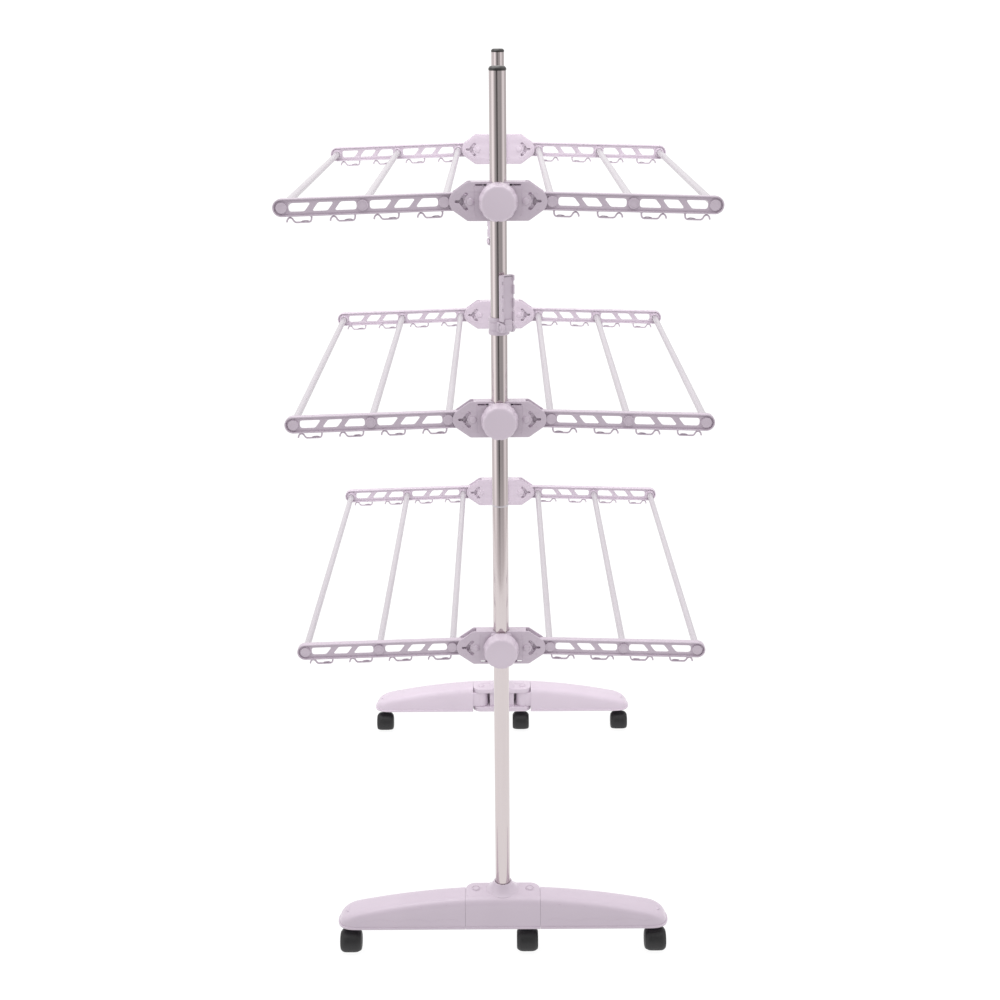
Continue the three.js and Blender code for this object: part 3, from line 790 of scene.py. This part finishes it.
# casters ---------------------------------------------------------------
def fork_shapes():
    wy, wr = -16.0, 21.0
    n, m = 28, 20
    s = Shape()
    outer, inner = [], []

    def grid(rad, half, store):
        for i in range(n + 1):
            a = math.radians(52 + (214 - 52) * i / n)
            row = []
            for j in range(m + 1):
                u = -1 + 2 * j / m
                r = rad - 3.4 * abs(u) ** 5
                row.append(len(s.v))
                s.v.append(Vector((half * u, wy + r * math.cos(a), wr + r * math.sin(a))))
            store.append(row)

    grid(24.5, 17.9, outer)
    grid(22.4, 16.2, inner)
    for g, fl in ((outer, False), (inner, True)):
        for a, b in zip(g, g[1:]):
            for j in range(m):
                q = [a[j], b[j], b[j + 1], a[j + 1]]
                s.f.append(q[::-1] if fl else q)
    for i in range(n):
        for j in (0, m):
            s.f.append([outer[i][j], inner[i][j], inner[i + 1][j], outer[i + 1][j]])
    for i in (0, n):
        for j in range(m):
            s.f.append([outer[i][j], outer[i][j + 1], inner[i][j + 1], inner[i][j]])
    web_pts = rounded([(wy - 20, wr + 8), (wy - 9, wr - 9), (wy + 9, wr - 9), (6, wr + 12), (7, 46), (wy, 44.6), (wy - 16, 37)], 3, 4)
    web = curve_shape([web_pts], 5.0, 0.4, 1).tf(Matrix(((0, 0, 1, 0), (1, 0, 0, 0), (0, 1, 0, 0), (0, 0, 0, 1))))
    bore = lathe([(0, -20), (3.4, -20), (3.4, 20), (0, 20)], 24, "X").move(0, wy, wr)
    web = cut(web, bore)
    stem = lathe([(0, 43.6), (8.6, 43.6), (8.6, 48.4), (8.1, 48.9), (4.5, 49), (4.5, 65.4), (4.0, 66), (0, 66)], 32)
    return s.add(web).add(stem)


def wheel_shape():
    wy, wr = -16.0, 21.0
    out = Shape()
    half = [(3.4, 3.3), (18.6, 3.3), (20.3, 3.8), (21.0, 5.2), (21.0, 13.6), (20.7, 16.0), (19.8, 18.4), (18.0, 20.2), (15.6, 20.9),
            (14.4, 20.9), (13.6, 20.2), (8.0, 19.9), (7.0, 20.6), (5.0, 20.9), (0, 20.9)]
    for sx in (1, -1):
        w = lathe([(0, 3.3)] + half, 56, "X")
        out.add(w if sx > 0 else w.tf(Matrix.Scale(-1, 4, (1, 0, 0))))
    out.add(lathe([(0, -3.4), (3.0, -3.4), (3.0, 3.4), (0, 3.4)], 24, "X"))
    return out.move(0, wy, wr)


# hanger ----------------------------------------------------------------
def collar_shape(far):
    hz = 1249.0
    prof = fillet([(14.65, hz - 15.9), (18.2, hz - 15.9), (18.2, hz - 9), (17.2, hz - 8.4), (17.2, hz - 6.4), (18.2, hz - 5.8),
                   (18.2, hz + 4.6), (17.2, hz + 5.2), (17.2, hz + 7.2), (18.2, hz + 7.8), (18.2, hz + 13.9), (14.65, hz + 13.9)],
                  {1: 1.2, 10: 1.2}) + [(14.65, hz - 15.9)]
    c = lathe(prof, 64)
    bore = lathe([(0, hz - 60), (14.65, hz - 60), (14.65, hz + 60), (0, hz + 60)], 48)
    ears = Shape()
    for sx in (-1, 1):
        x0, x1 = sorted((sx * 7.7, sx * 12.4))
        ears.add(cut(block(x0, x1, -27, 0, hz - 8.8, hz + 8.8, 0.8), bore))
        ears.add(lathe(fillet([(0, x0), (8.9, x0), (8.9, x1), (0, x1)], {1: 0.9, 2: 0.9}), 40, "X").move(0, -27, hz))
    ears.add(lathe([(0, -12.6), (2.6, -12.6), (2.6, 12.6), (0, 12.6)], 24, "X").move(0, -27, hz))
    ears.add(lathe([(0, 0), (4.6, 0), (4.6, 0.5), (3.6, 1.2), (0, 1.4)], 24, "X").move(12.3, -27, hz))
    ears.add(lathe([(0, 0), (4.6, 0), (4.6, 0.5), (3.6, 1.2), (0, 1.4)], 24, "X").tf(rot("Z", 180)).move(-12.3, -27, hz))
    return c.add(ears).tf(rot("Z", 30 + (180 if far else 0)))


def hanger_shape(far):
    hz, y = 1249.0, -27.0
    z0, z1 = hz + 10.5, hz + 90
    s = Shape()
    # channel: back and two sides
    side = [(y - 7, z0), (y + 7, z0), (y + 7, z1 - 3), (y + 4, z1), (y - 4, z1), (y - 7, z1 - 3)]
    notch = []
    zs = [z0 + 17 + 23 * i for i in range(3)]
    prof = [(y - 7, z0)]
    prof += [(y - 7, z1 - 3), (y - 4, z1), (y + 7, z1)]
    for z in reversed(zs):
        prof += [(y + 7, z + 7), (y + 3.6, z + 6.4), (y + 3.6, z + 0.6), (y + 7, z)]
    prof += [(y + 7, z0)]
    prof = rounded(prof[::-1], 0.8, 2)
    yz = Matrix(((0, 0, 1, 0), (1, 0, 0, 0), (0, 1, 0, 0), (0, 0, 0, 1)))
    for x0, x1 in ((-11.5, -8.9), (8.9, 11.5)):
        s.add(curve_shape([prof], x1 - x0, 0.4, 1).tf(yz).move((x0 + x1) / 2, 0, 0))
    s.add(block(-10.5, 10.5, y + 1.2, y + 3.6, z0, z1 - 0.4, 0.4, 1))
    s.add(block(-10.8, 10.8, y - 6.6, y + 3.6, z0, z0 + 5, 0.8))
    s.add(block(-10.8, 10.8, y - 6.2, y + 3.6, z1 - 4, z1 - 0.2, 0.8))
    for i in range(6):
        z = z0 + 11 + i * 11.5
        s.add(block(-9.2, 9.2, y - 3.0, y + 1.8, z - 0.7, z + 0.7, 0.3, 1))
    hub = lathe(fillet([(2.9, -7.2), (8, -7.2), (8, 7.2), (2.9, 7.2)], {1: 1.0, 2: 1.0}) + [(2.9, -7.2)], 40, "X").move(0, y, hz)
    bore = lathe([(0, -20), (2.9, -20), (2.9, 20), (0, 20)], 24, "X").move(0, y, hz)
    neck = cut(block(-7.1, 7.1, y - 6.4, y + 6.4, hz, z0 + 4, 1.0), bore)
    s = s.tf(Matrix.Translation((0, 2 * y, 0)) @ Matrix.Scale(-1, 4, (0, 1, 0)))
    return s.add(hub).add(neck).tf(rot("Z", 30 + (180 if far else 0)))


# ---------------------------------------------------------------- assembly
PL, ST, RP, CB = "lilac_plastic", "uprights", "rod_paint", "caster_black"

wing_parts = wing_shapes()
knob_s, stud_s = knob_shape()
arm_parts = arm_shapes()
fork_s, wheel_s = fork_shapes(), wheel_shape()

for end, y in (("near", NEAR_Y), ("far", FAR_Y)):
    far = end == "far"
    at = Matrix.Translation((0, y, 0)) @ (rot("Z", 180) if far else Matrix.Identity(4))
    shift = Matrix.Translation((0, y, 0))
    node_ = f"upright_{end}"
    emit(f"pole_{end}_lower", tube(14.3, 1.0, 70, 921).tf(shift), STEEL, ST, "frame_root", node_)
    emit(f"pole_{end}_upper", tube(14.3, 1.0, 921.2, 1670).tf(shift), STEEL, ST, "frame_root", node_)
    ring = lathe([(14.1, 919.4), (14.6, 919.6), (14.75, 920.4), (14.75, 921.8), (14.6, 922.6), (14.1, 922.8), (14.1, 919.4)], 64)
    emit(f"pole_{end}_joint_ring", ring.tf(shift), ROD, ST, "frame_root", node_)
    cap = lathe(fillet([(0, 1658), (13.2, 1658), (13.2, 1670.2), (14.8, 1670.2), (14.8, 1673.2), (12.3, 1676.4), (9.9, 1677.0), (0, 1677.0)],
                       {3: 0.3, 4: 1.2}), 64)
    emit(f"pole_{end}_cap", cap.tf(shift), CAP, CB, "frame_root", node_)
    for nm, s, mt in center_shapes(-1 if far else 1):
        emit(f"foot_{end}_center_{nm}", s.tf(at), mt, PL, "frame_root", f"foot_{end}_center")
    for sx, base in ((1, "right"), (-1, "left")):
        side = base if not far else {"right": "left", "left": "right"}[base]
        m = at @ Matrix.Scale(sx, 4, (1, 0, 0))
        for nm, s, mt in wing_parts:
            emit(f"foot_{end}_wing_{side}_{nm}", s.tf(m), mt, PL, f"foot_{end}_wing_{side}_body", f"foot_{end}_wing_{side}")
    stem_y = y + (12.5 if far else -12.5)
    for side, x in (("left", -300), ("mid", 48), ("right", 300)):
        m = Matrix.Translation((x, stem_y, 0))
        emit(f"caster_{end}_{side}_hood", fork_s.tf(m), BLACK, CB, f"caster_{end}_{side}_swivel_body", f"caster_{end}_{side}_fork")
        emit(f"caster_{end}_{side}_twin_wheels", wheel_s.tf(m), BLACK, CB, f"caster_{end}_{side}_wheels_body", f"caster_{end}_{side}_wheels")
    emit(f"hanger_{end}_band", collar_shape(far).tf(shift), LILAC, PL, "frame_root", f"hanger_{end}_collar")
    emit(f"hanger_{end}_channel", hanger_shape(far).tf(shift), LILAC, PL, f"hanger_{end}_arm_body", f"hanger_{end}_arm")

for k, z in enumerate(TIER_Z, 1):
    for end, y in (("near", NEAR_Y), ("far", FAR_Y)):
        far = end == "far"
        m = Matrix.Translation((0, y, z)) @ (rot("Z", 180) if far else Matrix.Identity(4))
        for nm, s, mt in bracket_shapes((k == 3) != far, far):
            emit(f"tier{k}_{end}_bracket_{nm}", s.tf(m), mt, PL, f"tier{k}_carriage", f"tier{k}_bracket_{end}")
        mk = m @ Matrix.Translation((0, -17.5, 0))
        kn = Shape().add(knob_s).add(stud_s)
        # the knob takes the lighter lilac copy, painted light against the plates
        emit(f"tier{k}_{end}_clamp_knob", kn.tf(mk), LILAC_LIT_KNOB, PL, f"tier{k}_knob_{end}_body", f"tier{k}_knob_{end}")
    for side, sx in (("left", -1), ("right", 1)):
        base = Matrix.Translation((sx * PIVOT_X, 0, z)) @ Matrix.Rotation(sx * DROOP, 4, "Y") @ Matrix.Scale(sx, 4, (1, 0, 0))
        body = f"tray{k}_{side}"
        for end, y in (("near", NEAR_Y), ("far", FAR_Y)):
            m = base @ Matrix.Translation((0, y, 0))
            if end == "far":
                m = m @ Matrix.Scale(-1, 4, (0, 1, 0))
            for nm, s, mt in arm_parts:
                emit(f"{body}_{end}_arm_{nm}", s.tf(m), mt, PL, body, f"{body}_arm_{end}")
        y0, y1 = NEAR_Y + 3.0, FAR_Y - 3.0
        for nm, sd, nd in (("inner", DISC_S[0], f"{body}_rod_inner"), ("middle", DISC_S[1], f"{body}_arm_far"), ("outer", DISC_S[2], f"{body}_rod_outer")):
            r = lathe([(5.4, y0), (5.9, y0), (6.25, y0 + 0.3), (6.25, y1 - 0.3), (5.9, y1), (5.4, y1), (5.4, y0)], 32).tf(Matrix(((1, 0, 0, 0), (0, 0, 1, 0), (0, -1, 0, 0), (0, 0, 0, 1))))
            emit(f"{body}_{nm}_rail", r.tf(base @ Matrix.Translation((sd, 0, 0))), ROD, RP, body, nd)

# ---------------------------------------------------------------- stage
def stage_mesh(name, verts, faces, mat):
    me = bpy.data.meshes.new(name)
    me.from_pydata(verts, [], faces)
    me.materials.append(mat)
    ob = bpy.data.objects.new(name, me)
    bpy.context.scene.collection.objects.link(ob)
    return ob


fm, nt, b = new_mat("stage_floor")
n = noise(nt, 3.0, 2.0)
c = ramp(nt, n, [(0.3, (0.115, 0.115, 0.116)), (0.7, (0.125, 0.125, 0.125))])
nt.links.new(c.outputs["Color"], b.inputs["Base Color"])
b.inputs["Roughness"].default_value = 0.9
b.inputs["Specular IOR Level"].default_value = 0.1
b.inputs["Emission Color"].default_value = (1, 1, 1, 1)
b.inputs["Emission Strength"].default_value = 0.93
FS = 60.0
floor = stage_mesh("stage_floor", [(-FS, -FS, -0.0005), (FS, -FS, -0.0005), (FS, FS, -0.0005), (-FS, FS, -0.0005)], [(0, 1, 2, 3)], fm)
floor.visible_diffuse = False

world = bpy.data.worlds.new("studio")
bpy.context.scene.world = world
world.use_nodes = True
wt = world.node_tree
bg = wt.nodes["Background"]
wco = wt.nodes.new("ShaderNodeTexCoord")
wse = wt.nodes.new("ShaderNodeSeparateXYZ")
wt.links.new(wco.outputs["Generated"], wse.inputs["Vector"])


def wmath(op, a, b):
    n = wt.nodes.new("ShaderNodeMath")
    n.operation = op
    for i, q in enumerate((a, b)):
        if isinstance(q, (int, float)):
            n.inputs[i].default_value = q
        else:
            wt.links.new(q, n.inputs[i])
    return n.outputs[0]


# brighter overhead and from behind the far foot, dimmer from the near side
lift = wmath("MULTIPLY", wmath("MAXIMUM", wse.outputs["Z"], 0.0), 0.34)
side = wmath("MULTIPLY", wse.outputs["Y"], 0.30)
strength = wmath("ADD", wmath("ADD", lift, side), 0.99)
wt.links.new(strength, bg.inputs["Strength"])
bg.inputs["Color"].default_value = (1.0, 1.0, 1.0, 1)
bpy.context.scene.view_settings.view_transform = "Standard"


def area(name, loc, target, size, size_y, power, colour=(1, 1, 1)):
    ld = bpy.data.lights.new(name, "AREA")
    ld.shape = "RECTANGLE"
    ld.size, ld.size_y = size, size_y
    ld.energy = power
    ld.color = colour
    ob = bpy.data.objects.new(name, ld)
    ob.location = loc
    ob.rotation_euler = (Vector(target) - Vector(loc)).to_track_quat("-Z", "Y").to_euler()
    bpy.context.scene.collection.objects.link(ob)
    return ob


area("soft_top", (-0.5, 0.1, 4.0), (0, 0.2, 0.9), 2.2, 2.2, 26)
# a front softbox that reaches the far half only
far_half = bpy.data.collections.new("far_half")
for ob in MADE:
    if "_far" in ob.name and "pole" not in ob.name and "caster" not in ob.name:
        far_half.objects.link(ob)
fill = area("soft_far", (0.0, -3.2, 2.6), (0, 0.45, 0.8), 2.6, 2.0, 72)
fill.light_linking.receiver_collection = far_half

# reflector wall round the stage: only shiny surfaces see it, as bright and dark studio panels
WR = 2.3
segs = 180
wv, wf = [], []
for i in range(segs):
    a = 2 * math.pi * i / segs
    wv += [(WR * math.cos(a), WR * math.sin(a), 0.001), (WR * math.cos(a), WR * math.sin(a), 3.6)]
for i in range(segs):
    j = (i + 1) % segs
    wf.append((2 * i, 2 * i + 1, 2 * j + 1, 2 * j))
wm = bpy.data.materials.new("stage_reflectors")
wm.use_nodes = True
nt = wm.node_tree
nt.nodes.clear()
co = node(nt, "ShaderNodeTexCoord")
sep = node(nt, "ShaderNodeSeparateXYZ")
nt.links.new(co.outputs["Object"], sep.inputs["Vector"])
at2 = node(nt, "ShaderNodeMath", operation="ARCTAN2")
neg = node(nt, "ShaderNodeMath", operation="MULTIPLY")
neg.inputs[1].default_value = -1.0
nt.links.new(sep.outputs["Y"], neg.inputs[0])
nt.links.new(sep.outputs["X"], at2.inputs[0])
nt.links.new(neg.outputs[0], at2.inputs[1])
sc = node(nt, "ShaderNodeMapRange")
sc.inputs["From Min"].default_value = -math.pi
sc.inputs["From Max"].default_value = math.pi
nt.links.new(at2.outputs[0], sc.inputs["Value"])
BANDS = [(-180, 0.90), (-119, 0.89), (-95.4, 0.79), (-78, 1.06), (-63.5, 1.42), (-50.3, 1.22), (-35.8, 0.62), (-23.7, 0.40),
         (-12.9, 0.26), (-8.5, 0.05), (-3.0, 0.02), (0.5, 0.42), (18.6, 0.47), (30.5, 0.40), (42.5, 0.50), (56.4, 0.95), (71.5, 1.12),
         (91.6, 0.76), (116.7, 0.60), (150, 0.75), (180, 0.90)]
r = ramp(nt, sc, [((d + 180) / 360, (v, v * 0.985, v * 0.985)) for d, v in BANDS], "Result")
em = node(nt, "ShaderNodeEmission")
em.inputs["Strength"].default_value = 1.0
# the panels fade to an even grey near the floor
fade = node(nt, "ShaderNodeMapRange")
fade.inputs["From Min"].default_value = -0.10
fade.inputs["From Max"].default_value = 0.42
nt.links.new(sep.outputs["Z"], fade.inputs["Value"])
mx = node(nt, "ShaderNodeMix", data_type="RGBA")
nt.links.new(fade.outputs[0], mx.inputs["Factor"])
mx.inputs["A"].default_value = (0.86, 0.83, 0.83, 1)
nt.links.new(r.outputs["Color"], mx.inputs["B"])
nt.links.new(mx.outputs["Result"], em.inputs["Color"])
mo = node(nt, "ShaderNodeOutputMaterial")
nt.links.new(em.outputs[0], mo.inputs["Surface"])
wall = stage_mesh("stage_reflector_wall", wv, wf, wm)
wall.visible_camera = False
wall.visible_diffuse = False
wall.visible_shadow = False
wall.visible_transmission = False

# ---------------------------------------------------------------- camera
cd = bpy.data.cameras.new("camera")
cam = bpy.data.objects.new("camera", cd)
bpy.context.scene.collection.objects.link(cam)
cd.sensor_width = 36.0
cd.lens = 52.49
cd.clip_end = 200.0
psi, th, rho = math.radians(0.0662), math.radians(18.9013), math.radians(-0.3928)
fwd = Vector((-math.sin(psi) * math.cos(th), math.cos(psi) * math.cos(th), -math.sin(th)))
R = Vector((math.cos(psi), math.sin(psi), 0))
U = Vector((-math.sin(psi) * math.sin(th), math.cos(psi) * math.sin(th), math.cos(th)))
xc = math.cos(rho) * R + math.sin(rho) * U
yc = -math.sin(rho) * R + math.cos(rho) * U
zc = -fwd
mw = Matrix((xc, yc, zc)).transposed().to_4x4()
mw.translation = Vector((0.00246, -2.92167, 1.77696))
cam.matrix_world = mw
bpy.context.scene.camera = cam
